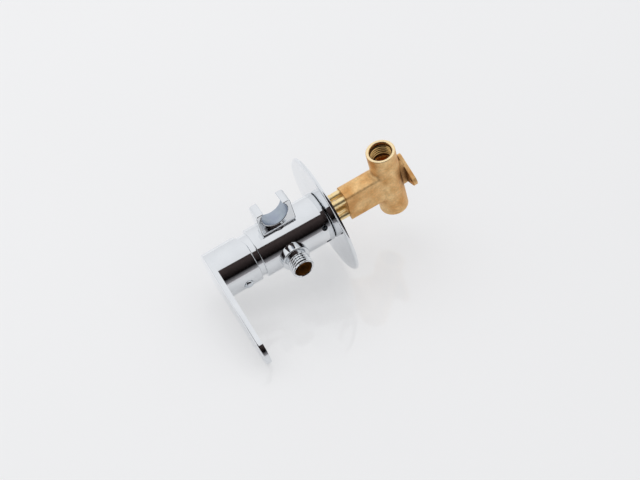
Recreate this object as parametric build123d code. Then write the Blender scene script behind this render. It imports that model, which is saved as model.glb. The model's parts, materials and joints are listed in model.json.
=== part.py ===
"""Concealed bidet shower mixer: a single-lever valve on a wall plate, with its in-wall inlet casting.

The body's axis is Y, and +Y points into the wall. X is to the right seen from the front, and Z is up.
The origin lies on the body's axis, in the plane of the wall, where the cover plate's rim rests.
"""
from build123d import *
import math
import os

# Mixer body: a chromed brass cylinder, open at the front for the cartridge
body_diameter = 46.6
body_length = 68.8
body_front_round = 0.8
body_rear_round = 1.5
seat_depth = 20.0
seat_diameter = 35.2
nut_bore_depth = 10.0
port_diameter = 4.4
slip = 0.05
loose = 0.2
overcut = 1.0

# Cover plate: a pressed disc that the body's rear end holds to the wall
plate_diameter = 113.0
plate_depth = 2.8
plate_sheet = 1.0
plate_hole = 35.0
plate_rim_land = 1.0
plate_gap = 0.3
plate_ring_section = 1.76
plate_ring_mean = 39.6

# Hose outlet: a turned nipple with a G1/2 male thread on a round boss
outlet_station = 41.6
outlet_boss_diameter = 26.5
outlet_boss_height = 4.7
outlet_boss_round = 1.0
outlet_thread_diameter = 20.955
outlet_thread_length = 13.5
outlet_neck_diameter = 18.4
outlet_neck_width = 1.6
outlet_bore = 16.5
outlet_lip = 0.6
spigot_diameter = 18.0
spigot_bore = 10.0
spigot_step = 1.2
outlet_floor = 1.0
outlet_seal_width = 3.4
outlet_seal_height = 1.2
outlet_passage = 8.5

# Handset holder: a block with a round channel, open on its outer face
holder_width = 33.5
holder_height = 15.0
holder_reach = 28.0
holder_corner = 3.0
holder_edge = 0.8
channel_diameter = 25.0
channel_inset = 8.0
foot_diameter = 16.0
foot_depth = 1.9
holder_gap = 0.5
stud_diameter = 6.0
stud_floor = 0.8
stud_in_holder = 5.2

# Water tubes above and solid guide pins below, all of one diameter
tube_diameter = 7.0
tube_bore = 4.8
tube_spread = 9.5
tube_rise = 4.4
tube_in_body = 21.0
tube_in_block = 9.0
tube_groove_station = 11.3
tube_groove_width = 1.2
tube_groove_depth = 0.5
tube_seal_section = 1.2
tube_seal_station = 5.0
tube_seal_spacing = 6.0

# Two set screws that clamp the guide pins from below
set_screw_diameter = 5.0
set_screw_length = 8.0
set_screw_station = 7.0
set_screw_key = 2.5
key_depth = 2.5

# In-wall casting: a block behind the plate, a tee with G1/2 female ends, and a fixing lug
block_width = 31.5
block_height = 20.0
block_top_round = 7.5
block_corner = 2.5
block_station = 19.7
casting_round = 2.5
tee_station = 64.8
tee_diameter = 26.5
tee_length = 76.0
tee_edge = 0.5
inlet_bore = 20.6
inlet_depth = 16.0
inlet_mouth = 21.6
chamber_bore = 14.0
chamber_wall = 6.0
lug_gap = 2.5
lug_thickness = 3.5
lug_half_width = 15.5
lug_top = 7.3
lug_drop = 21.3
lug_corner = 3.5
lug_tip = 5.5
lug_hole = 4.6
stem_width = 27.0
stem_height = 13.0
stem_corner = 3.0

# Cartridge: a plastic housing with two ceramic discs, a turning carrier and a tilting spindle
cartridge_diameter = 34.8
base_thickness = 5.0
peg_diameter = 4.0
peg_length = 3.0
peg_spread = 11.0
peg_rise = 9.5
port_spread = 7.0
port_drop = 4.0
outlet_port_rise = 5.0
outlet_port_diameter = 6.4
port_seal_gap = 0.6
port_seal_width = 1.4
port_seal_height = 1.4
housing_wall = 2.6
housing_step_height = 9.0
housing_step_width = 1.3
fixed_disc_thickness = 4.5
moving_disc_diameter = 24.0
moving_disc_thickness = 4.0
pocket_width = 17.0
pocket_rise = 6.0
pocket_drop = 3.2
pocket_depth = 2.0
pocket_corner = 2.5
dog_width = 4.0
dog_depth = 2.0
dog_reach = 2.5
disc_carrier_thickness = 5.0
disc_carrier_width = 20.2
running_gap = 0.3
rotor_body_height = 7.8
rotor_neck_diameter = 19.8
rotor_neck_height = 4.5
rotor_slot_width = 8.8
rotor_slot_above = 6.4
rotor_slot_below = 7.6
rotor_leg_half_span = 8.0
pivot_below_top = 3.0
pin_diameter = 3.0
pin_length = 17.0
spindle_square = 7.0
spindle_shank = 8.0
spindle_shank_length = 9.5
spindle_front = 23.0
spindle_arm = 11.0
spindle_neck = 5.0
ball_diameter = 5.6

# Cartridge nut and the domed neck ring that hides it
nut_diameter = 38.0
nut_length = 15.0
neck_diameter = 41.0
neck_wall = 1.3
neck_opening = 33.0

# Lever handle: a hollow cap with a flat tapering lever on its front
cap_diameter = 45.7
cap_length = 38.4
cap_rear_round = 1.1
cap_mouth_gap = 1.0
cap_mouth_depth = 5.4
cap_relief = 7.7
cap_front_wall = 5.0
cap_waist_radius = 18.5
cap_waist_depth = 18.4
cap_end_radius = 17.5
cap_rear_gap = 4.9
lever_reach = 96.0
lever_thickness = 5.0
lever_tip_radius = 15.0
lever_edge = 1.2
socket_diameter = 14.0
socket_gap = 0.1
grub_station = 11.0
grub_diameter = 4.0
grub_length = 3.8
grub_key = 2.0
socket_below_grub = 2.7
plug_diameter = 9.6
plug_recess = 0.4
plug_depth = 2.4
plug_crown = 1.5

# How the lever stands and moves
lever_rest_angle = 11.0
lift_angle = 25.0

# Places along the axis, from the wall towards the front
body_rear = -(plate_depth + plate_gap)
body_front = body_rear - body_length
body_radius = body_diameter / 2
outlet_y = body_rear - outlet_station
seat_floor = body_front + seat_depth
fixed_disc_rear = seat_floor - base_thickness
moving_disc_rear = fixed_disc_rear - fixed_disc_thickness
carrier_rear = moving_disc_rear - moving_disc_thickness
rotor_rear = carrier_rear - disc_carrier_thickness - running_gap
rotor_shoulder = rotor_rear - rotor_body_height
rotor_front = rotor_shoulder - rotor_neck_height
pivot_y = rotor_front + pivot_below_top
ball_y = pivot_y + spindle_arm
housing_inner = cartridge_diameter / 2 - housing_wall
housing_step_y = fixed_disc_rear - housing_step_height
slide_travel = spindle_arm * math.sin(math.radians(lift_angle))
disc_offset = slide_travel / 2
cap_rear = body_front - cap_rear_gap
cap_front = cap_rear - cap_length
cap_radius = cap_diameter / 2
grub_y = pivot_y - grub_station
tube_front = body_rear - tube_in_body
tube_rear = block_station + tube_in_block
holder_base = body_radius + holder_gap
foot_seat = holder_base - foot_depth
stud_start = seat_diameter / 2 + stud_floor
stud_end = holder_base + stud_in_holder
outlet_boss_end = body_radius + outlet_boss_height
outlet_end = outlet_boss_end + outlet_thread_length
spigot_hole_end = seat_diameter / 2 + outlet_floor
spigot_end = spigot_hole_end + outlet_seal_height + slip
lug_front = tee_station + tee_diameter / 2 + lug_gap
lug_rear = lug_front + lug_thickness
lug_hole_drop = lug_drop - lug_tip


def turned(points):
    """A solid of revolution about the body's axis, from (radius, y) corners."""
    return revolve(make_face(Polyline(*points, close=True)), Axis.Y)


def rod_y(diameter, start, end, x=0.0, z=0.0):
    """A round bar along Y between two stations."""
    return Pos(x, (start + end) / 2, z) * Rot(90, 0, 0) * Cylinder(diameter / 2, abs(end - start))


def rod_x(diameter, start, end, y=0.0, z=0.0):
    """A round bar along X between two places."""
    return Pos((start + end) / 2, y, z) * Rot(0, 90, 0) * Cylinder(diameter / 2, abs(end - start))


def rod_z(diameter, start, end, x=0.0, y=0.0):
    """A round bar along Z between two heights."""
    return Pos(x, y, (start + end) / 2) * Cylinder(diameter / 2, abs(end - start))


def block(x_span, y_span, z_span):
    """A rectangular bar between its (low, high) limits on each axis."""
    size = [high - low for low, high in (x_span, y_span, z_span)]
    middle = [(high + low) / 2 for low, high in (x_span, y_span, z_span)]
    return Pos(*middle) * Box(*size)


def drilled(diameter, start, end):
    """A slanted drilled passage between two points."""
    direction = Vector(*end) - Vector(*start)
    plane = Plane(origin=start, z_dir=direction)
    return extrude(plane * Circle(diameter / 2), direction.length)


def hex_socket(across_flats, depth):
    """A hexagonal key hole that opens at z = 0 and goes down."""
    hexagon = RegularPolygon(across_flats / 2, 6, major_radius=False)
    return extrude(hexagon, -depth)


def with_lever(solid):
    """Turns a piece drawn with the lever straight down to the lever's rest angle."""
    return Rot(0, lever_rest_angle, 0) * solid


def tube_places():
    """The (x, z) places of the two water tubes and the two guide pins."""
    upper = [(-tube_spread, tube_rise), (tube_spread, tube_rise)]
    lower = [(-tube_spread, -tube_rise), (tube_spread, -tube_rise)]
    return upper, lower


def tube_seal_places():
    """The two stations along the axis where rubber rings sit round each water tube."""
    first = body_rear - tube_seal_station
    return first, first - tube_seal_spacing


def make_mixer_body():
    """The body with its cartridge seat, waterways, tube bores, outlet boss and screw holes."""
    seat = seat_diameter / 2
    nut = nut_diameter / 2 + slip
    body = turned([
        (0, seat_floor), (seat, seat_floor), (seat, body_front + nut_bore_depth),
        (nut, body_front + nut_bore_depth), (nut, body_front), (body_radius, body_front),
        (body_radius, body_rear), (0, body_rear),
    ])
    body = fillet(body.edges().group_by(Axis.Y)[0].sort_by(SortBy.RADIUS)[-1], body_front_round)
    body = fillet(body.edges().sort_by(Axis.Y)[-1], body_rear_round)
    boss = rod_z(outlet_boss_diameter, -outlet_boss_end, -seat_diameter / 2, y=outlet_y)
    boss = fillet(boss.edges().sort_by(Axis.Z)[0], outlet_boss_round)
    body += boss - rod_y(seat_diameter, body_front, body_rear)
    body -= rod_z(spigot_diameter + 2 * slip, -outlet_boss_end, -spigot_hole_end, y=outlet_y)
    body -= rod_z(outlet_passage, -outlet_boss_end, outlet_port_rise + outlet_passage / 2, y=outlet_y)
    body -= rod_y(outlet_port_diameter, seat_floor, outlet_y, z=outlet_port_rise)
    upper, lower = tube_places()
    for x, z in upper + lower:
        body -= rod_y(tube_diameter + 2 * slip, tube_front - slip, body_rear, x, z)
    for x, z in upper:
        side = math.copysign(1, x)
        body -= drilled(port_diameter, (side * port_spread, seat_floor, -port_drop), (x, tube_front, z))
        for place in tube_seal_places():
            groove = tube_diameter + 2 * slip + 2 * tube_seal_section
            half = tube_seal_section / 2 + slip
            body -= rod_y(groove, place - half, place + half, x, z)
    for x, z in lower:
        body -= rod_z(set_screw_diameter + 2 * slip, -body_radius, z, x, body_rear - set_screw_station)
    for side in (-1, 1):
        hole = peg_diameter + loose
        body -= rod_y(hole, seat_floor, seat_floor + peg_length + loose, side * peg_spread, peg_rise)
    body -= rod_x(foot_diameter + loose, foot_seat, body_radius, outlet_y)
    body -= rod_x(stud_diameter + 2 * slip, stud_start - slip, body_radius, outlet_y)
    mean = plate_ring_mean / 2
    half = plate_ring_section / 2 + slip
    depth = plate_ring_section - plate_gap + 2 * slip
    body -= turned([
        (mean - half, body_rear - depth), (mean + half, body_rear - depth),
        (mean + half, body_rear), (mean - half, body_rear),
    ])
    return body


def make_cover_plate():
    """A shallow pressed disc with a rounded rim and a flat land that meets the wall."""
    outer = plate_diameter / 2
    hole = plate_hole / 2
    shoulder = outer - plate_depth
    diagonal = plate_depth * math.sqrt(0.5)
    inner_face = plate_sheet - plate_depth
    lines = [
        Line((hole, -plate_depth), (shoulder, -plate_depth)),
        ThreePointArc((shoulder, -plate_depth), (shoulder + diagonal, -diagonal), (outer, 0)),
        Polyline((outer, 0), (outer - plate_rim_land, 0), (shoulder, inner_face), (hole, inner_face),
                 (hole, -plate_depth)),
    ]
    return revolve(make_face(lines), Axis.Y)


def make_plate_ring():
    """A rubber ring in the body's rear face that keeps the plate from rattling."""
    section = Pos(plate_ring_mean / 2, body_rear + plate_gap - plate_ring_section / 2 - slip / 2)
    return revolve(section * Circle(plate_ring_section / 2), Axis.Y)


def make_hose_outlet():
    """The nipple: a spigot in the boss, a turned neck and the threaded end."""
    neck_end = outlet_boss_end + outlet_neck_width
    thread = outlet_thread_diameter / 2
    profile = [
        (spigot_bore / 2, -spigot_end), (spigot_diameter / 2, -spigot_end),
        (spigot_diameter / 2, -outlet_boss_end), (outlet_neck_diameter / 2, -outlet_boss_end),
        (outlet_neck_diameter / 2, outlet_lip - neck_end), (thread - outlet_lip, -neck_end),
        (thread, -neck_end - outlet_lip), (thread, outlet_lip - outlet_end),
        (thread - outlet_lip, -outlet_end), (outlet_bore / 2 + outlet_lip, -outlet_end),
        (outlet_bore / 2, outlet_lip - outlet_end),
        (outlet_bore / 2, -outlet_boss_end - spigot_step), (spigot_bore / 2, -outlet_boss_end - spigot_step),
    ]
    face = Plane.XZ * make_face(Polyline(*profile, close=True))
    return Pos(0, outlet_y, 0) * revolve(face, Axis.Z)


def make_outlet_seal():
    """A flat rubber washer under the spigot's inner end."""
    outer = spigot_diameter / 2
    washer = Cylinder(outer, outlet_seal_height) - Cylinder(outer - outlet_seal_width, outlet_seal_height)
    return Pos(0, outlet_y, -spigot_hole_end - slip / 2 - outlet_seal_height / 2) * washer


def make_handset_holder():
    """The holder block: round channel along Z, open outwards, on a round foot."""
    outer = holder_base + holder_reach
    half_width = holder_width / 2
    half_height = holder_height / 2
    y_span = (outlet_y - half_width, outlet_y + half_width)
    bar = block((holder_base, outer), y_span, (-half_height, half_height))
    bar = fillet(bar.edges().filter_by(Axis.Z), holder_corner)
    bar -= rod_z(channel_diameter, -half_height, half_height, outer - channel_inset, outlet_y)
    rims = bar.faces().filter_by(Axis.Z).edges()
    bar = fillet(rims, holder_edge)
    bar += rod_x(foot_diameter, foot_seat, holder_base + holder_edge, outlet_y)
    stud_hole = stud_diameter + 2 * slip
    return bar - rod_x(stud_hole, foot_seat, stud_end + slip, outlet_y)


def make_holder_stud():
    """The threaded stud that draws the holder onto its seat."""
    return rod_x(stud_diameter, stud_start, stud_end, outlet_y)


def grooved_rod(x, z):
    """A bar of the tubes' diameter with a shallow turned groove behind the plate."""
    rod = rod_y(tube_diameter, tube_front, tube_rear, x, z)
    low = tube_groove_station - tube_groove_width / 2
    high = tube_groove_station + tube_groove_width / 2
    collar = rod_y(tube_diameter + overcut, low, high, x, z)
    return rod - (collar - rod_y(tube_diameter - 2 * tube_groove_depth, low, high, x, z))


def make_water_tube(side):
    """A water tube from the casting to the body."""
    x = side * tube_spread
    return grooved_rod(x, tube_rise) - rod_y(tube_bore, tube_front, tube_rear, x, tube_rise)


def make_guide_pins():
    """The two solid pins that the set screws clamp."""
    return Compound(children=[grooved_rod(x, z) for x, z in tube_places()[1]])


def make_tube_seals():
    """Rubber rings in the body's tube bores, around the water tubes."""
    rings = []
    mean = tube_diameter / 2 + slip + tube_seal_section / 2
    for x, z in tube_places()[0]:
        for place in tube_seal_places():
            ring = Torus(mean, tube_seal_section / 2 - slip / 2)
            rings.append(Pos(x, place, z) * Rot(90, 0, 0) * ring)
    return Compound(children=rings)


def make_set_screws():
    """The two grub screws below the guide pins."""
    screws = []
    y = body_rear - set_screw_station
    for x, z in tube_places()[1]:
        top = z - tube_diameter / 2
        bottom = top - set_screw_length
        key = Pos(x, y, bottom) * Rot(180, 0, 0) * hex_socket(set_screw_key, key_depth)
        screws.append(rod_z(set_screw_diameter, bottom, top, x, y) - key)
    return Compound(children=screws)


def make_in_wall_body():
    """The brass casting: block, tee, fixing lug and their waterways."""
    half_width = block_width / 2
    half_height = block_height / 2
    bar = block((-half_width, half_width), (block_station, tee_station), (-half_height, half_height))
    bar = fillet(bar.edges().filter_by(Axis.Y).group_by(Axis.Z)[-1], block_top_round)
    bar = fillet(bar.edges().filter_by(Axis.Y).group_by(Axis.Z)[0], block_corner)
    half_tee = tee_length / 2
    tee = rod_x(tee_diameter, -half_tee, half_tee, tee_station)
    tee = chamfer(tee.edges().filter_by(GeomType.CIRCLE), tee_edge)
    stem_half = stem_width / 2
    stem = block((-stem_half, stem_half), (tee_station, lug_front), (-stem_height / 2, stem_height / 2))
    stem = fillet(stem.edges().filter_by(Axis.Y), stem_corner)
    corner_x = lug_half_width - lug_corner
    corner_z = lug_top - lug_corner
    rounds = (Pos(0, lug_tip - lug_drop) * Circle(lug_tip)).edges()
    for x in (-corner_x, corner_x):
        rounds += (Pos(x, corner_z) * Circle(lug_corner)).edges()
    outline = make_hull(rounds)
    lug = Pos(0, lug_rear, 0) * extrude(Plane.XZ * outline, lug_thickness)
    casting = bar + tee
    casting = fillet(new_edges(bar, tee, combined=casting), casting_round)
    casting += stem + lug
    casting -= rod_y(lug_hole, lug_front, lug_rear, z=-lug_hole_drop)
    for side in (-1, 1):
        mouth = side * half_tee
        flare = (inlet_mouth - inlet_bore) / 2
        casting -= rod_x(inlet_bore, mouth - side * inlet_depth, mouth, tee_station)
        cone = Pos(mouth - side * flare / 2, tee_station, 0) * Rot(0, side * 90, 0)
        casting -= cone * Cone(inlet_bore / 2, inlet_mouth / 2, flare)
        casting -= rod_x(chamber_bore, side * chamber_wall / 2, mouth - side * inlet_depth, tee_station)
    upper, lower = tube_places()
    for x, z in upper + lower:
        casting -= rod_y(tube_diameter + 2 * slip, block_station, tube_rear, x, z)
    for x, z in upper:
        casting -= rod_y(port_diameter, tube_rear, tee_station, x, z)
    return casting


def inlet_ports(diameter, start, end):
    """The two inlet holes through the cartridge's base and its fixed disc."""
    return [rod_y(diameter, start, end, side * port_spread, -port_drop) for side in (-1, 1)]


def outlet_port(diameter, start, end):
    """The outlet hole through the cartridge's base and its fixed disc."""
    return rod_y(diameter, start, end, z=outlet_port_rise)


def make_cartridge_base():
    """The base: three ports with seal seats, and two pegs that locate it in the body."""
    base = rod_y(cartridge_diameter, seat_floor, fixed_disc_rear)
    for side in (-1, 1):
        base += rod_y(peg_diameter, seat_floor, seat_floor + peg_length, side * peg_spread, peg_rise)
    seal_room = 2 * (port_seal_gap + port_seal_width + slip)
    for hole in inlet_ports(port_diameter, seat_floor, fixed_disc_rear):
        base -= hole
    for seat in inlet_ports(port_diameter + seal_room, seat_floor - port_seal_height, seat_floor):
        base -= seat
    base -= outlet_port(outlet_port_diameter, seat_floor, fixed_disc_rear)
    return base - outlet_port(outlet_port_diameter + seal_room, seat_floor - port_seal_height, seat_floor)


def port_seal(diameter, x, z):
    """A flat rubber ring round one port, flush with the base."""
    inner = diameter + 2 * port_seal_gap
    outer = inner + 2 * port_seal_width
    end = seat_floor - port_seal_height
    return rod_y(outer, end, seat_floor, x, z) - rod_y(inner, end, seat_floor, x, z)


def make_inlet_port_seals():
    """The rings round the two inlet ports."""
    return Compound(children=[port_seal(port_diameter, side * port_spread, -port_drop) for side in (-1, 1)])


def make_outlet_port_seal():
    """The ring round the outlet port."""
    return port_seal(outlet_port_diameter, 0, outlet_port_rise)


def make_fixed_disc():
    """The ceramic disc that stays still, with its three ports."""
    disc = rod_y(2 * (housing_inner - running_gap / 2), fixed_disc_rear, moving_disc_rear)
    for hole in inlet_ports(port_diameter, fixed_disc_rear, moving_disc_rear):
        disc -= hole
    return disc - outlet_port(outlet_port_diameter, fixed_disc_rear, moving_disc_rear)


def make_moving_disc():
    """The ceramic disc that slides: a mixing pocket behind and two notches for the carrier's dogs."""
    disc = rod_y(moving_disc_diameter, moving_disc_rear, carrier_rear)
    half = pocket_width / 2
    pocket_span = (moving_disc_rear - pocket_depth, moving_disc_rear)
    pocket = block((-half, half), pocket_span, (-pocket_drop, pocket_rise))
    disc -= fillet(pocket.edges().filter_by(Axis.Y), pocket_corner)
    for side in (-1, 1):
        disc -= carrier_dog(side, slip)
    return with_lever(Pos(0, 0, disc_offset) * disc)


def carrier_dog(side, room):
    """One of the two dogs that drive the moving disc, grown by the room round it."""
    outer = moving_disc_diameter / 2 + room
    inner = disc_carrier_width / 2 - dog_reach - room
    spans = sorted((side * inner, side * outer))
    half = dog_width / 2 + room
    return block(spans, (carrier_rear, carrier_rear + dog_depth + room), (-half, half))


def make_disc_carrier():
    """The carrier that the spindle's ball pushes, with flats that the rotor's legs guide."""
    plate = rod_y(moving_disc_diameter, carrier_rear - disc_carrier_thickness, carrier_rear)
    half = disc_carrier_width / 2
    limits = block((-half, half), (carrier_rear - disc_carrier_thickness, carrier_rear + dog_depth),
                   (-moving_disc_diameter, moving_disc_diameter))
    for side in (-1, 1):
        plate += carrier_dog(side, 0)
    plate = plate & limits
    socket = ball_diameter + 2 * running_gap
    hole = rod_y(socket, carrier_rear - disc_carrier_thickness, ball_y + ball_diameter / 2 + running_gap)
    return with_lever(Pos(0, 0, disc_offset) * plate - hole)


def make_cartridge_housing():
    """The housing: a stepped tube over the discs, with a lip that keeps the rotor in."""
    outer = cartridge_diameter / 2
    upper = outer - housing_step_width
    lip = rotor_neck_diameter / 2 + running_gap
    lip_rear = rotor_shoulder - running_gap
    return turned([
        (housing_inner, fixed_disc_rear), (outer, fixed_disc_rear), (outer, housing_step_y),
        (upper, housing_step_y), (upper, rotor_front), (lip, rotor_front), (lip, lip_rear),
        (housing_inner, lip_rear),
    ])


def make_spindle_carrier():
    """The rotor: it turns with the lever, holds the spindle's pin and steers the disc carrier."""
    rotor_radius = housing_inner - running_gap
    rotor = rod_y(2 * rotor_radius, rotor_shoulder, rotor_rear)
    rotor += rod_y(rotor_neck_diameter, rotor_front, rotor_shoulder)
    leg_end = carrier_rear - running_gap
    leg_inner = disc_carrier_width / 2 + running_gap
    sleeve = rod_y(2 * rotor_radius, rotor_rear, leg_end)
    for side in (-1, 1):
        spans = sorted((side * leg_inner, side * rotor_radius))
        rotor += sleeve & block(spans, (rotor_rear, leg_end), (-rotor_leg_half_span, rotor_leg_half_span))
    half = rotor_slot_width / 2
    rotor -= block((-half, half), (rotor_front, rotor_rear), (-rotor_slot_below, rotor_slot_above))
    rotor -= rod_x(pin_diameter + 2 * slip, -pin_length / 2, pin_length / 2, pivot_y)
    return with_lever(rotor)


def make_spindle_pin():
    """The steel pin that the spindle tilts on."""
    return with_lever(rod_x(pin_diameter, -pin_length / 2, pin_length / 2, pivot_y))


def make_spindle():
    """The spindle: a square end for the handle, a round shank on the pin and a ball below."""
    shank_front = pivot_y - spindle_shank_length + spindle_shank / 2
    half = spindle_square / 2
    spindle = block((-half, half), (pivot_y - spindle_front, shank_front), (-half, half))
    spindle += rod_y(spindle_shank, shank_front, pivot_y + spindle_shank / 2)
    spindle += rod_y(spindle_neck, pivot_y, ball_y)
    spindle += Pos(0, ball_y, 0) * Sphere(ball_diameter / 2)
    return with_lever(spindle - rod_x(pin_diameter + 2 * slip, -spindle_shank, spindle_shank, pivot_y))


def make_cartridge_nut():
    """The brass ring nut that clamps the housing's step down into the body."""
    outer = nut_diameter / 2
    rear = body_front + nut_bore_depth - slip
    front = rear - nut_length
    step = cartridge_diameter / 2 - housing_step_width + loose / 2
    skirt = cartridge_diameter / 2 + loose / 2
    return turned([
        (skirt, rear), (outer, rear), (outer, front), (step, front),
        (step, housing_step_y), (skirt, housing_step_y),
    ])


def make_neck_ring():
    """The chromed ring on the nut: a plain band, then a dome about the lever's pivot."""
    outer = neck_diameter / 2
    inner = outer - neck_wall
    opening = neck_opening / 2
    ball_front = pivot_y - math.sqrt(outer ** 2 - opening ** 2)
    inner_front = pivot_y - math.sqrt(inner ** 2 - opening ** 2)
    outer_half = math.acos(opening / outer) / 2
    inner_half = math.acos(opening / inner) / 2
    outer_middle = (outer * math.cos(outer_half), pivot_y - outer * math.sin(outer_half))
    inner_middle = (inner * math.cos(inner_half), pivot_y - inner * math.sin(inner_half))
    lines = [
        Polyline((inner, pivot_y), (inner, body_front), (outer, body_front), (outer, pivot_y)),
        ThreePointArc((outer, pivot_y), outer_middle, (opening, ball_front)),
        Line((opening, ball_front), (opening, inner_front)),
        ThreePointArc((opening, inner_front), inner_middle, (inner, pivot_y)),
    ]
    return revolve(make_face(lines), Axis.Y)


def lever_plate():
    """The flat lever: round at the cap, with straight tapering sides and a round tip."""
    tip = Pos(0, lever_tip_radius - lever_reach) * Circle(lever_tip_radius)
    outline = make_hull(Circle(cap_radius).edges() + tip.edges())
    return Pos(0, cap_front + lever_thickness, 0) * extrude(Plane.XZ * outline, lever_thickness)


def make_lever_handle():
    """The handle casting: cap, lever, spindle socket, relief opposite the lever and screw access."""
    handle = lever_plate() + rod_y(cap_diameter, cap_front, cap_rear)
    front_rim = handle.faces().sort_by(Axis.Y)[0].edges()
    handle = fillet(front_rim, lever_edge)
    relief_front = cap_rear - cap_relief * cap_diameter / cap_radius
    relief_rear = cap_rear + overcut
    corners = [(cap_rear, 0), (relief_rear, 0), (relief_rear, cap_diameter), (relief_front, cap_diameter)]
    relief = make_face(Polyline(*corners, close=True))
    handle -= extrude(Plane.YZ * relief, cap_diameter, both=True)
    rear_faces = handle.faces().filter_by(GeomType.PLANE).sort_by(Axis.Y)[-2:]
    handle = fillet(rear_faces.edges().filter_by(GeomType.LINE, reverse=True), cap_rear_round)
    mouth = neck_diameter / 2 + cap_mouth_gap
    cavity_front = cap_front + cap_front_wall
    handle -= turned([
        (0, cap_rear), (mouth, cap_rear), (mouth, cap_rear - cap_mouth_depth),
        (cap_waist_radius, cap_rear - cap_waist_depth), (cap_end_radius, cavity_front), (0, cavity_front),
    ])
    socket_rear = grub_y + socket_below_grub
    socket = rod_y(socket_diameter, cavity_front, socket_rear)
    half = spindle_square / 2 + socket_gap
    socket -= block((-half, half), (pivot_y - spindle_front - socket_gap, socket_rear), (-half, half))
    handle += socket
    handle -= rod_z(grub_diameter + 2 * slip, -socket_diameter, -spindle_square / 2, y=grub_y)
    handle -= rod_z(plug_diameter + 2 * slip, -cap_diameter, -socket_diameter, y=grub_y)
    return with_lever(handle)


def make_handle_grub_screw():
    """The grub screw that holds the handle on the spindle."""
    top = -spindle_square / 2
    screw = rod_z(grub_diameter, top - grub_length, top, y=grub_y)
    key = Pos(0, grub_y, top - grub_length) * Rot(180, 0, 0) * hex_socket(grub_key, grub_length / 2)
    return with_lever(screw - key)


def make_index_plug():
    """The small domed plug that closes the grub screw's access hole."""
    rim = plug_recess - cap_radius
    crown = rim - plug_crown
    crown_radius = (plug_diameter ** 2 / 4 + plug_crown ** 2) / (2 * plug_crown)
    plug = rod_z(plug_diameter, crown, rim + plug_depth, y=grub_y)
    return with_lever(plug & (Pos(0, grub_y, crown + crown_radius) * Sphere(crown_radius)))


makers = {
    "mixer_body": make_mixer_body,
    "cover_plate": make_cover_plate,
    "plate_ring": make_plate_ring,
    "hose_outlet": make_hose_outlet,
    "outlet_seal": make_outlet_seal,
    "handset_holder": make_handset_holder,
    "holder_stud": make_holder_stud,
    "hot_tube": lambda: make_water_tube(-1),
    "cold_tube": lambda: make_water_tube(1),
    "guide_pins": make_guide_pins,
    "tube_seals": make_tube_seals,
    "set_screws": make_set_screws,
    "in_wall_body": make_in_wall_body,
    "cartridge_base": make_cartridge_base,
    "inlet_port_seals": make_inlet_port_seals,
    "outlet_port_seal": make_outlet_port_seal,
    "cartridge_housing": make_cartridge_housing,
    "fixed_disc": make_fixed_disc,
    "moving_disc": make_moving_disc,
    "disc_carrier": make_disc_carrier,
    "spindle_carrier": make_spindle_carrier,
    "spindle_pin": make_spindle_pin,
    "spindle": make_spindle,
    "cartridge_nut": make_cartridge_nut,
    "neck_ring": make_neck_ring,
    "lever_handle": make_lever_handle,
    "handle_grub_screw": make_handle_grub_screw,
    "index_plug": make_index_plug,
}

os.makedirs("parts", exist_ok=True)
for name, make in makers.items():
    export_step(make(), f"parts/{name}.step")
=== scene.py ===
"""Looks of the concealed bidet shower mixer: polished chrome and brass, laid on a glossy white floor.

Everything is in metres, in the part's own frame: Y is the body's axis, X the holder's side, Z is up.
"""
import json
import math

import bmesh
import bpy
from mathutils import Matrix, Vector


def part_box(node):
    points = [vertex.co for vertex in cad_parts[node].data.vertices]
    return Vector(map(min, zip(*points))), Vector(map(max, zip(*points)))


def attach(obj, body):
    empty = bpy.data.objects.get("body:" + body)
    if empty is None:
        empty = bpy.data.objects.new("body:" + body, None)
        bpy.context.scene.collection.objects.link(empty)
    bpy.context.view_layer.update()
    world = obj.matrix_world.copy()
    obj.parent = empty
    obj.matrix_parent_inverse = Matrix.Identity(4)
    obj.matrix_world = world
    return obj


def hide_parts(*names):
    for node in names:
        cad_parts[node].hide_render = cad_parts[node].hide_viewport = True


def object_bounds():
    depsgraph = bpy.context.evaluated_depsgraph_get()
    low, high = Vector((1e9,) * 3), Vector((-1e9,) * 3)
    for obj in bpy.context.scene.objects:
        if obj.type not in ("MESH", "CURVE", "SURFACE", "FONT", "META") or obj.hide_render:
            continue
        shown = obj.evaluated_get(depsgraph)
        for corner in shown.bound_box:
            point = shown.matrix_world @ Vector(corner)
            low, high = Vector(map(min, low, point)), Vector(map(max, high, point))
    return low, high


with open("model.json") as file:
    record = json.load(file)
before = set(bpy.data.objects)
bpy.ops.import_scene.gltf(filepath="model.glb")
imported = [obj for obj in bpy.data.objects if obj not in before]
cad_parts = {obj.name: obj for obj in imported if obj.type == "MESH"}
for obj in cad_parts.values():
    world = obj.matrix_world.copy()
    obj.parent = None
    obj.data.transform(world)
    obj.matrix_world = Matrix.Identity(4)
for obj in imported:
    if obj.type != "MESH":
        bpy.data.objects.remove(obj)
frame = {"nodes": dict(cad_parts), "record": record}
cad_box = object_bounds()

MM = 0.001

# Camera, as read from the photograph
picture_width = 640
picture_height = 480
focal_pixels = 1500.0
sensor_width = 36.0
axis_rise = math.radians(30.0)
axis_lean = math.radians(8.5)
body_roll = math.radians(37.0)
aim_point = Vector((0, -41.7 * MM, 0))
aim_pixel = (285.0, 236.7)
aim_distance = 1327 * MM

# Floor and sky: how steeply the camera looks down, the floor's size, and strengths of which 1 is white
camera_height_angle = math.radians(46)
floor_size = 6.0
floor_glow = 0.41
mirrored_glow = 0.22
world_light = 0.74
sky_far = 0.8
sky_near_key = 1.0

# Key lamp: its size, distance and power, and how far it stands up, to the left and behind
key_size = 1.5
key_distance = 1.7
key_power = 6.0
key_up = 0.85
key_left = 0.45
key_behind = 0.25

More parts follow.
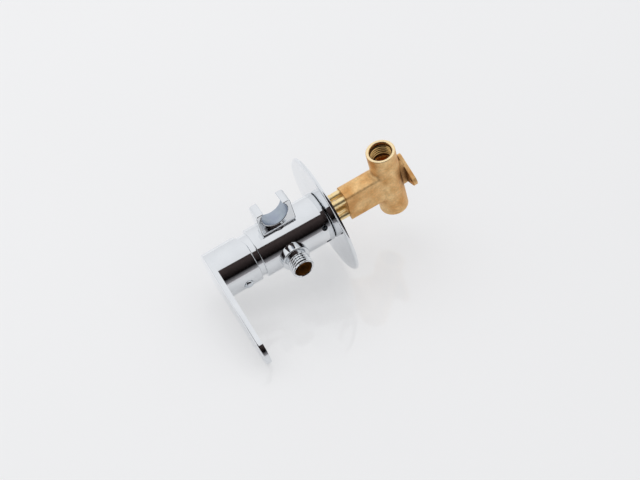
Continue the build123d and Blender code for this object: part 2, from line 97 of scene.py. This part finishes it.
# Dark card in front of the part: where it stands, its size, and the heights at which its felt changes
card_distance = 0.35
card_width = 1.6
card_height = 0.72
card_foot = 0.14
card_black_top = 0.15
card_brown_start = 0.45

# The casting's corners, darkened with painted shade, its faced ends, its bores, lightened with painted light,
# and the holder's satin channel with its painted blue-grey reflection
painted_shade_reach = 9 * MM
faced_depth = 0.2 * MM
bore_edge = 11.4 * MM
channel_radius = 12.65 * MM
channel_inset = 8.0 * MM

# G1/2 pipe thread on the outlet and in the tee's mouths, its 1.814 mm pitch drawn coarser so that it shows
thread_pitch = 2.5 * MM
thread_depth = 1.162 * MM
root_flat = 0.1
crest_half = 0.08
steps_per_turn = 72
wall_gap = 0.02 * MM

# The hose nipple under its thread
spigot_radius = 9.0 * MM
spigot_bore = 5.0 * MM
boss_face = 28.0 * MM
neck_radius = 9.2 * MM
neck_width = 1.6 * MM
nipple_bore = 8.25 * MM
nipple_lip = 0.6 * MM
bore_floor = 29.2 * MM

# The index plug's dome
solid_plug_crown = 1.5 * MM
plug_crown = 3.0 * MM
dome_steps = 12

# How turned pieces are meshed
lathe_steps = 96
merge_distance = 0.001 * MM
sharp_angle = math.radians(40)

# The repeat of a wave texture whose scale is 1
wave_repeat = math.pi / 10


# Node helpers

def colour(code):
    """A hex sRGB colour as linear RGBA."""
    channels = [int(code[i:i + 2], 16) / 255 for i in (1, 3, 5)]
    linear = [c / 12.92 if c <= 0.04045 else ((c + 0.055) / 1.055) ** 2.4 for c in channels]
    return (*linear, 1.0)


def add(tree, kind, inputs=None, **settings):
    """Adds a node with its settings, and sets or links its input sockets."""
    node = tree.nodes.new(kind)
    for name, value in settings.items():
        setattr(node, name, value)
    for name, value in (inputs or {}).items():
        if isinstance(value, bpy.types.NodeSocket):
            tree.links.new(value, node.inputs[name])
        else:
            node.inputs[name].default_value = value
    return node


def new_material(name):
    """An empty node material, with its output node and its Object coordinates."""
    material = bpy.data.materials.new(name)
    material.use_nodes = True
    tree = material.node_tree
    tree.nodes.clear()
    output = add(tree, "ShaderNodeOutputMaterial")
    place = add(tree, "ShaderNodeTexCoord").outputs["Object"]
    return material, tree, output, place


def blend(tree, factor, first, second, how="MIX"):
    """A colour between two colours, by a factor."""
    inputs = {"Factor": factor, "A": first, "B": second}
    return add(tree, "ShaderNodeMix", inputs, data_type="RGBA", blend_type=how).outputs["Result"]


def spread(tree, value, low, high):
    """A value from 0 to 1 stretched between two limits."""
    node = add(tree, "ShaderNodeMapRange", {"Value": value, "To Min": low, "To Max": high})
    return node.outputs["Result"]


def share(tree, value, start, end):
    """How far a value has come on the way from a start to an end, from 0 to 1."""
    node = add(tree, "ShaderNodeMapRange", {"Value": value, "From Min": start, "From Max": end})
    return node.outputs["Result"]


def reckon(tree, operation, first, second=0.0):
    """The result of one step of arithmetic."""
    return add(tree, "ShaderNodeMath", {0: first, 1: second}, operation=operation).outputs["Value"]


def distance_along(tree, place, direction):
    """How far a point lies along a direction."""
    node = add(tree, "ShaderNodeVectorMath", {0: place, 1: direction}, operation="DOT_PRODUCT")
    return node.outputs["Value"]


def noise(tree, place, size, detail):
    """A cloudy pattern with features of about that many millimetres."""
    node = add(tree, "ShaderNodeTexNoise", {"Vector": place, "Scale": 1 / (size * MM), "Detail": detail})
    return node.outputs["Fac"]


def relief(tree, height, strength, depth):
    """A normal that follows a height pattern of that many millimetres."""
    node = add(tree, "ShaderNodeBump", {"Height": height, "Strength": strength, "Distance": depth * MM})
    return node.outputs["Normal"]


def surface(tree, output, tint, metallic, rough, normal):
    """Ends a material in one opaque surface."""
    shader = add(tree, "ShaderNodeBsdfPrincipled", {
        "Base Color": tint,
        "Metallic": metallic,
        "Roughness": rough,
        "Normal": normal,
    })
    tree.links.new(shader.outputs["BSDF"], output.inputs["Surface"])


def within(tree, place, line, centre, radius):
    """1 nearer than a radius to a line along X, Y or Z through a point, and 0 further out."""
    ways = [way for way in "XYZ" if way != line]
    parts = add(tree, "ShaderNodeSeparateXYZ", {"Vector": place})
    offsets = [reckon(tree, "SUBTRACT", parts.outputs[way], centre["XYZ".index(way)]) for way in ways]
    squares = [reckon(tree, "POWER", offset, 2.0) for offset in offsets]
    return reckon(tree, "LESS_THAN", reckon(tree, "ADD", *squares), radius ** 2)


def seen_ray(tree):
    """1 for what is seen directly, mirrored or through something clear, and 0 for what lights things."""
    path = add(tree, "ShaderNodeLightPath")
    mirrored = reckon(tree, "MAXIMUM", path.outputs["Is Glossy Ray"], path.outputs["Is Transmission Ray"])
    return reckon(tree, "MAXIMUM", mirrored, path.outputs["Is Camera Ray"])


# Materials

def polished_waves(tree, place):
    """The faint waviness that hand polishing leaves under a plating."""
    return relief(tree, noise(tree, place, size=9, detail=0.0), strength=0.04, depth=0.3)


def polished_chrome(name, light, dark):
    """Nickel-chrome plating on polished brass: mirror-bright, with the faint waviness of hand polishing."""
    material, tree, output, place = new_material(name)
    tint = blend(tree, noise(tree, place, size=14, detail=2.0), colour(dark), colour(light))
    rough = spread(tree, noise(tree, place, size=3, detail=3.0), low=0.03, high=0.075)
    surface(tree, output, tint, metallic=1.0, rough=rough, normal=polished_waves(tree, place))
    return material


def holder_chrome(name, channel_centre):
    """The holder's plating: a mirror outside, and satin in the channel, with a soft blue-grey reflection
    painted into its colour.
    """
    material, tree, output, place = new_material(name)
    cloud = noise(tree, place, size=14, detail=2.0)
    satin_painted_reflection = within(tree, place, "Z", channel_centre, channel_radius)
    outside = blend(tree, cloud, colour("#dbdee1"), colour("#e9ebed"))
    # Painted reflection: the channel's blue-grey stands for the studio mirrored in it
    inside = blend(tree, cloud, colour("#868aa6"), colour("#c6d2d4"))
    tint = blend(tree, satin_painted_reflection, outside, inside)
    rough = spread(tree, satin_painted_reflection, low=0.05, high=0.4)
    surface(tree, output, tint, metallic=1.0, rough=rough, normal=polished_waves(tree, place))
    return material


def sand_cast_brass(name, tee_end, tee_centre):
    """Brass from a sand mould: grainy pale gold under a thin oxide film that scatters part of the light.

    It is bright where the tee's ends were faced, lighter in its bores, which are machined and also lightened
    with painted light against the shade inside, and brown in its corners with painted shade. The mould's sand
    is finer in
    reality: its grain is drawn coarser so that it shows.
    """
    material, tree, output, place = new_material(name)
    grain = noise(tree, place, size=2.2, detail=4.0)
    patch = share(tree, noise(tree, place, size=16, detail=3.0), start=0.35, end=0.65)
    cast = blend(tree, patch, colour("#e0a865"), colour("#ffd99d"))
    speckled = blend(tree, 1.0, cast, spread(tree, grain, low=0.68, high=1.25), "MULTIPLY")
    # Painted shade: ambient occlusion darkens the casting to brown in its corners
    corner = add(tree, "ShaderNodeAmbientOcclusion", {"Distance": painted_shade_reach}, only_local=True, samples=8)
    unshaded = share(tree, corner.outputs["AO"], start=0.4, end=0.9)
    corner_shaded = blend(tree, unshaded, colour("#7d5526"), speckled)
    parts = add(tree, "ShaderNodeSeparateXYZ", {"Vector": place})
    sideways = reckon(tree, "ABSOLUTE", parts.outputs["X"])
    faced = reckon(tree, "GREATER_THAN", sideways, tee_end - faced_depth)
    # The bores' colour is machined brass, made lighter as painted light against the shade inside them
    bore_with_painted_light = within(tree, place, "X", tee_centre, bore_edge)
    cut = reckon(tree, "MAXIMUM", faced, bore_with_painted_light)
    inside = blend(tree, bore_with_painted_light, corner_shaded, colour("#e6b673"))
    tint = blend(tree, faced, inside, colour("#fbe3b6"))
    metallic = spread(tree, cut, low=0.65, high=0.9)
    rough = spread(tree, cut, low=0.5, high=0.26)
    normal = relief(tree, grain, strength=spread(tree, cut, low=0.6, high=0.05), depth=0.25)
    surface(tree, output, tint, metallic, rough, normal)
    return material


def tapped_brass(name, tee_centre, pitch_radius):
    """Brass cut with a tap: its thread's crests carry a painted highlight, and its roots are dark with
    cutting oil and painted shade.
    """
    material, tree, output, place = new_material(name)
    cloud = noise(tree, place, size=3, detail=2.0)
    # Painted highlight on the crests, and painted shade with cutting oil in the roots
    crest = within(tree, place, "X", tee_centre, pitch_radius)
    crest_highlight = blend(tree, cloud, colour("#d9a65c"), colour("#f6d292"))
    oil_and_shade = blend(tree, cloud, colour("#2e1c0a"), colour("#5a3a1c"))
    tint = blend(tree, crest, oil_and_shade, crest_highlight)
    rough = spread(tree, cloud, low=0.25, high=0.4)
    normal = relief(tree, cloud, strength=0.05, depth=0.05)
    surface(tree, output, tint, metallic=0.9, rough=rough, normal=normal)
    return material


def turned_brass(name, dark, light, line_direction, line_spacing):
    """Brass fresh from the lathe: bright, with fine tool lines round it, drawn coarser than real to show."""
    material, tree, output, place = new_material(name)
    waves = {"Vector": place, "Scale": wave_repeat / (line_spacing * MM), "Distortion": 0.6}
    lines = add(tree, "ShaderNodeTexWave", waves, bands_direction=line_direction).outputs["Fac"]
    tint = blend(tree, noise(tree, place, size=5, detail=2.0), colour(dark), colour(light))
    rough = spread(tree, lines, low=0.28, high=0.42)
    normal = relief(tree, lines, strength=0.15, depth=0.05)
    surface(tree, output, tint, metallic=1.0, rough=rough, normal=normal)
    return material


def fine_grained(name, dark, light, grain_size, metallic, rough_low, rough_high, bump):
    """A plain hard or rubbery surface with a fine grain: a little lighter and duller on its crests."""
    material, tree, output, place = new_material(name)
    grain = noise(tree, place, size=grain_size, detail=3.0)
    tint = blend(tree, grain, colour(dark), colour(light))
    rough = spread(tree, grain, rough_low, rough_high)
    surface(tree, output, tint, metallic, rough, normal=relief(tree, grain, strength=bump, depth=0.05))
    return material


def black_felt(name, upwards, low):
    """A felt card that swallows the light: pale at its foot, then black, and brown-grey at its top, painted
    so that the chrome mirrors a soft lower edge and a brownish strip.
    """
    material, tree, output, place = new_material(name)
    height = distance_along(tree, place, upwards)
    # Painted reflection: the brown-grey top and the pale foot are mirrored in the chrome as a brownish strip
    # and a soft edge
    brown_top = share(tree, height, start=low + card_black_top, end=low + card_brown_start)
    felt = blend(tree, brown_top, colour("#020101"), colour("#584c4a"))
    above_foot = share(tree, height, start=low, end=low + card_foot)
    tint = blend(tree, above_foot, colour("#d2ced0"), felt)
    normal = relief(tree, noise(tree, place, size=2, detail=3.0), strength=0.1, depth=0.05)
    shader = add(tree, "ShaderNodeBsdfDiffuse", {"Color": tint, "Roughness": 1.0, "Normal": normal})
    tree.links.new(shader.outputs["BSDF"], output.inputs["Surface"])
    return material


def white_acrylic(name):
    """The floor's polished acrylic sheet, lit through from below: pale, with light shadows and reflections.

    In the chrome its shadows show deeper. It is see-through from behind, so that it never hides the part.
    """
    material, tree, output, place = new_material(name)
    mirrored = add(tree, "ShaderNodeLightPath").outputs["Is Glossy Ray"]
    plain = blend(tree, noise(tree, place, size=400, detail=2.0), colour("#b6b6b7"), colour("#bababb"))
    tint = blend(tree, mirrored, plain, colour("#e3e3e4"))
    glow = reckon(tree, "MULTIPLY", seen_ray(tree), spread(tree, mirrored, floor_glow, mirrored_glow))
    shader = add(tree, "ShaderNodeBsdfPrincipled", {
        "Base Color": tint,
        "Roughness": 0.06,
        "Emission Color": colour("#ffffff"),
        "Emission Strength": glow,
    })
    clear = add(tree, "ShaderNodeBsdfTransparent")
    behind = add(tree, "ShaderNodeNewGeometry").outputs["Backfacing"]
    sides = {"Fac": behind, 1: shader.outputs["BSDF"], 2: clear.outputs["BSDF"]}
    either = add(tree, "ShaderNodeMixShader", sides)
    tree.links.new(either.outputs["Shader"], output.inputs["Surface"])
    return material


# Objects

def linked(name, data):
    """A new object with that data, linked into the scene."""
    thing = bpy.data.objects.new(name, data)
    bpy.context.scene.collection.objects.link(thing)
    return thing


def mesh_object(bm, name, material):
    """A new object made from a bmesh, with one material."""
    mesh = bpy.data.meshes.new(name)
    bm.to_mesh(mesh)
    bm.free()
    mesh.materials.append(material)
    return linked(name, mesh)


# Camera

def camera_axes():
    """The part's X, Y and Z axes as the camera sees them: x to the right, y up, z towards the viewer."""
    rising = Vector((math.cos(axis_rise), math.sin(axis_rise), 0))
    along = rising * math.cos(axis_lean) - Vector((0, 0, math.sin(axis_lean)))
    across = Vector((-math.sin(axis_rise), math.cos(axis_rise), 0))
    towards = along.cross(across)
    holder_side = towards * math.cos(body_roll) + across * math.sin(body_roll)
    return Matrix((holder_side, along, holder_side.cross(along))).transposed()


def make_camera():
    """The camera, placed so that the aim point lands on its pixel at its distance."""
    turn = camera_axes()
    pixel = aim_distance / focal_pixels
    seen_x = (aim_pixel[0] - picture_width / 2) * pixel
    seen_y = (picture_height / 2 - aim_pixel[1]) * pixel
    seen = Vector((seen_x, seen_y, -aim_distance))
    data = bpy.data.cameras.new("camera")
    data.sensor_width = sensor_width
    data.lens = sensor_width * focal_pixels / picture_width
    camera = linked("camera", data)
    camera.matrix_world = (Matrix.Translation(seen - turn @ aim_point) @ turn.to_4x4()).inverted()
    bpy.context.scene.camera = camera
    return camera


# Pieces

def finish_piece(bm, name, material, body):
    """Turns a bmesh into a smooth object that rides on a body."""
    bmesh.ops.recalc_face_normals(bm, faces=bm.faces)
    piece = mesh_object(bm, name, material)
    mesh = piece.data
    mesh.polygons.foreach_set("use_smooth", [True] * len(mesh.polygons))
    mesh.set_sharp_from_angle(angle=sharp_angle)
    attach(piece, body)
    return piece


def thread_ring(crest, root, wall, length):
    """A threaded ring along Z from 0 to its length: the helix on one side, a plain wall on the other."""
    bm = bmesh.new()
    tooth = [
        (root, 0), (root, root_flat), (crest, 0.5 - crest_half),
        (crest, 0.5 + crest_half), (root, 1 - root_flat), (root, 1),
    ]
    points = [bm.verts.new((radius, 0, (part - 1) * thread_pitch)) for radius, part in tooth]
    wire = [bm.edges.new(pair) for pair in zip(points, points[1:])]
    turns = math.ceil(length / thread_pitch) + 1
    bmesh.ops.spin(bm, geom=points + wire, cent=(0, 0, 0), axis=(0, 0, 1), angle=turns * math.tau,
                   dvec=(0, 0, thread_pitch / steps_per_turn), steps=turns * steps_per_turn)
    bmesh.ops.remove_doubles(bm, verts=bm.verts, dist=merge_distance)
    for height, outwards in ((0, -1), (length, 1)):
        everything = bm.verts[:] + bm.edges[:] + bm.faces[:]
        bmesh.ops.bisect_plane(bm, geom=everything, plane_co=(0, 0, height), plane_no=(0, 0, outwards),
                               clear_outer=True, dist=merge_distance)
    # The thread runs out at 45 degrees at both ends
    for vertex in bm.verts:
        depth = min(vertex.co.z, length - vertex.co.z)
        height = abs(vertex.co.xy.length - root)
        if height > depth:
            vertex.co.xy *= (root + math.copysign(depth, crest - root)) / vertex.co.xy.length
    ends = [edge for edge in bm.edges if edge.is_boundary]
    grown = bmesh.ops.extrude_edge_only(bm, edges=ends)["geom"]
    for vertex in [item for item in grown if isinstance(item, bmesh.types.BMVert)]:
        vertex.co.xy *= wall / vertex.co.xy.length
    rims = [edge for edge in bm.edges if edge.is_boundary]
    bmesh.ops.bridge_loops(bm, edges=rims)
    return bm


def lathe(profile, ring=True):
    """A shape turned about Z from its (radius, height) outline: a ring, or a solid with its ends on Z."""
    bm = bmesh.new()
    points = [bm.verts.new((radius, 0, height)) for radius, height in profile]
    wire = [bm.edges.new(pair) for pair in zip(points, points[1:])]
    if ring:
        wire.append(bm.edges.new((points[-1], points[0])))
    bmesh.ops.spin(bm, geom=points + wire, cent=(0, 0, 0), axis=(0, 0, 1), angle=math.tau, steps=lathe_steps,
                   use_merge=True)
    bmesh.ops.remove_doubles(bm, verts=bm.verts, dist=merge_distance)
    return bm


def add_shape(bm, other):
    """Adds the second shape to the first."""
    mesh = bpy.data.meshes.new("joined")
    other.to_mesh(mesh)
    other.free()
    bm.from_mesh(mesh)
    bpy.data.meshes.remove(mesh)


def place_shape(bm, origin, direction):
    """Turns a shape drawn along Z to a direction, and moves its start to the origin given."""
    turn = Vector((0, 0, 1)).rotation_difference(Vector(direction)).to_matrix().to_4x4()
    bmesh.ops.transform(bm, matrix=Matrix.Translation(origin) @ turn, verts=bm.verts)


def mount_of(name):
    """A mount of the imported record, by its name."""
    return next(mount for mount in frame["record"]["mounts"] if mount["name"] == name)


def joint_of(name):
    """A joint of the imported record, by its name."""
    return next(joint for joint in frame["record"]["behaviour"]["joints"] if joint["name"] == name)


def make_inlet_thread(name, material):
    """The female thread in one mouth of the tee, just inside the bored wall."""
    mount = mount_of(name)
    length = mount["dims"]["length_mm"] * MM
    wall = mount["dims"]["r_mm"] * MM - wall_gap
    axis = Vector(mount["axis"])
    thread = thread_ring(wall - thread_depth, wall - wall_gap, wall, length - thread_pitch)
    place_shape(thread, Vector(mount["pos_m"]) - axis * length / 2, axis)
    finish_piece(thread, name.replace("inlet", "inlet_thread"), material, "fixed")


def make_nipple(chrome, brass):
    """The hose nipple with a cut thread in place of the plain one, and the brown brass of its bore."""
    mount = mount_of("hose_outlet")
    low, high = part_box("hose_outlet")
    middle = Vector((0, mount["pos_m"][1], 0))
    crest = mount["dims"]["r_mm"] * MM
    root = crest - thread_depth
    core = root - wall_gap
    neck_end = boss_face + neck_width
    lip_start = -low.z - nipple_lip
    nipple = lathe([
        (spigot_bore, -high.z), (spigot_radius, -high.z), (spigot_radius, boss_face),
        (neck_radius, boss_face), (neck_radius, neck_end), (core, neck_end), (core, -low.z),
        (nipple_bore + nipple_lip, -low.z), (nipple_bore, lip_start), (nipple_bore, bore_floor),
        (spigot_bore, bore_floor),
    ])
    thread = thread_ring(crest, root, core - wall_gap, -low.z - neck_end - wall_gap)
    bmesh.ops.translate(thread, vec=(0, 0, neck_end), verts=thread.verts)
    add_shape(nipple, thread)
    place_shape(nipple, middle, (0, 0, -1))
    piece = finish_piece(nipple, "threaded_nipple", chrome, "fixed")
    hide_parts("hose_outlet")
    skin_end = bore_floor + wall_gap
    skin = lathe([
        (nipple_bore - wall_gap, lip_start), (nipple_bore - wall_gap, skin_end),
        (spigot_bore, skin_end), (spigot_bore, skin_end + wall_gap),
        (nipple_bore - 2 * wall_gap, skin_end + wall_gap), (nipple_bore - 2 * wall_gap, lip_start),
    ])
    place_shape(skin, middle, (0, 0, -1))
    finish_piece(skin, "nipple_bore_skin", brass, "fixed")


def make_plug(chrome):
    """The index plug with a fuller dome than its solid, so that its edge mirrors the dark card."""
    axis = Vector(joint_of("disc_slide")["axis"])
    heights = [axis.dot(vertex.co) for vertex in frame["nodes"]["index_plug"].data.vertices]
    low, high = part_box("index_plug")
    radius = (high.y - low.y) / 2
    rim = max(heights) - solid_plug_crown
    turns = [math.pi / 2 * step / dome_steps for step in range(dome_steps)]
    dome = [(radius * math.cos(turn), rim + plug_crown * math.sin(turn)) for turn in turns]
    foot = [(0, min(heights)), (radius, min(heights))]
    plug = lathe(foot + dome + [(0, rim + plug_crown)], ring=False)
    place_shape(plug, Vector((0, (low.y + high.y) / 2, 0)), axis)
    piece = finish_piece(plug, "domed_index_plug", chrome, "lever")
    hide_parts("index_plug")


# Stage

def stage_plane(name, width, depth, place, across, normal, material):
    """A flat sheet of the stage: its width runs across, and it faces along its normal."""
    bm = bmesh.new()
    # A square of one metre, stretched to its size
    bmesh.ops.create_grid(bm, x_segments=1, y_segments=1, size=0.5)
    bmesh.ops.scale(bm, vec=(width, depth, 1), verts=bm.verts)
    turn = Matrix((across, normal.cross(across), normal)).transposed().to_4x4()
    bmesh.ops.transform(bm, matrix=Matrix.Translation(place) @ turn, verts=bm.verts)
    sheet = mesh_object(bm, name, material)
    return sheet


def make_key_light(place, towards):
    """A large soft lamp that stands off in a direction and shines back at a place, unseen in the chrome."""
    data = bpy.data.lights.new("key", "AREA")
    data.size = key_size
    data.energy = key_power
    lamp = linked("key", data)
    turn = towards.to_track_quat("Z", "Y").to_matrix().to_4x4()
    lamp.matrix_world = Matrix.Translation(place + towards * key_distance) @ turn
    lamp.visible_glossy = False


def make_world(towards_key):
    """A plain white studio: it lights the part evenly, and is seen and mirrored brighter round the key."""
    world = bpy.data.worlds.new("studio")
    world.use_nodes = True
    tree = world.node_tree
    tree.nodes.clear()
    way = add(tree, "ShaderNodeTexCoord").outputs["Generated"]
    shown = spread(tree, distance_along(tree, way, towards_key), sky_far, sky_near_key)
    strength = spread(tree, seen_ray(tree), world_light, shown)
    sky = add(tree, "ShaderNodeBackground", {"Color": colour("#fcfdff"), "Strength": strength})
    output = add(tree, "ShaderNodeOutputWorld")
    tree.links.new(sky.outputs["Background"], output.inputs["Surface"])
    bpy.context.scene.world = world


def make_stage(camera):
    """Floor, dark card, key light and world, set by how the camera looks down on the floor."""
    right, up, back = (camera.matrix_world.col[i].to_3d() for i in range(3))
    normal = up * math.cos(camera_height_angle) + back * math.sin(camera_height_angle)
    front = back * math.cos(camera_height_angle) - up * math.sin(camera_height_angle)
    vertices = [vertex for node in frame["nodes"].values() for vertex in node.data.vertices]
    floor_level = min(normal.dot(vertex.co) for vertex in vertices)
    middle = (cad_box[0] + cad_box[1]) / 2
    foot = middle + normal * (floor_level - normal.dot(middle))
    acrylic = white_acrylic("white_acrylic_sheet")
    stage_plane("floor", floor_size, floor_size, foot, right, normal, acrylic)
    # The card shows only in reflections
    felt = black_felt("black_felt", normal, floor_level)
    card_middle = foot + front * card_distance + normal * card_height / 2
    card = stage_plane("dark_card", card_width, card_height, card_middle, -right, -front, felt)
    card.visible_camera = False
    card.visible_diffuse = False
    card.visible_shadow = False
    towards_key = (normal * key_up - right * key_left - front * key_behind).normalized()
    make_key_light(foot, towards_key)
    make_world(towards_key)


# Everything together

tee_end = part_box("in_wall_body")[1].x
tee_centre = (0, mount_of("hot_inlet")["pos_m"][1], 0)
finishes = {
    "chrome": polished_chrome("polished_chrome_plating", light="#e9ebed", dark="#dbdee1"),
    # Painted shade: the plug's plating is a darker copy of the chrome
    "index_chrome": polished_chrome("polished_chrome_plug_painted_shade", light="#dfe3e7", dark="#cfd4d9"),
    "cast_brass": sand_cast_brass("sand_cast_brass", tee_end, tee_centre),
    "turned_brass": turned_brass(
        "turned_brass", dark="#f6d898", light="#ffebbd", line_direction="Y", line_spacing=0.5),
    "steel": fine_grained(
        "plain_steel", dark="#7d8186", light="#a1a5aa", grain_size=0.4, metallic=1.0,
        rough_low=0.3, rough_high=0.45, bump=0.1),
    "rubber": fine_grained(
        "moulded_nitrile_rubber", dark="#151515", light="#242424", grain_size=0.3, metallic=0.0,
        rough_low=0.55, rough_high=0.7, bump=0.1),
    "cartridge_plastic": fine_grained(
        "moulded_acetal", dark="#dcdad3", light="#e9e7e1", grain_size=0.5, metallic=0.0,
        rough_low=0.35, rough_high=0.5, bump=0.05),
    "alumina": fine_grained(
        "lapped_alumina", dark="#e9e7e1", light="#f3f2ee", grain_size=0.2, metallic=0.0,
        rough_low=0.12, rough_high=0.2, bump=0.02),
}
for subpart in frame["record"]["subparts"]:
    node = frame["nodes"][subpart["node"]]
    node.material_slots[0].material = finishes[subpart["material_slot"]]

channel_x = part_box("handset_holder")[1].x - channel_inset
channel_centre = (channel_x, mount_of("hose_outlet")["pos_m"][1], 0)
holder_finish = holder_chrome("polished_chrome_painted_reflection", channel_centre)
frame["nodes"]["handset_holder"].material_slots[0].material = holder_finish

pitch_radius = mount_of("hot_inlet")["dims"]["r_mm"] * MM - thread_depth / 2
thread_finish = tapped_brass("tapped_brass", tee_centre, pitch_radius)
bore_finish = turned_brass(
    "drilled_brass", dark="#b8965c", light="#cfae76", line_direction="Z", line_spacing=0.6)
make_inlet_thread("hot_inlet", thread_finish)
make_inlet_thread("cold_inlet", thread_finish)
make_plug(finishes["index_chrome"])
make_nipple(finishes["chrome"], bore_finish)

make_stage(make_camera())
bpy.context.scene.view_settings.view_transform = "Standard"
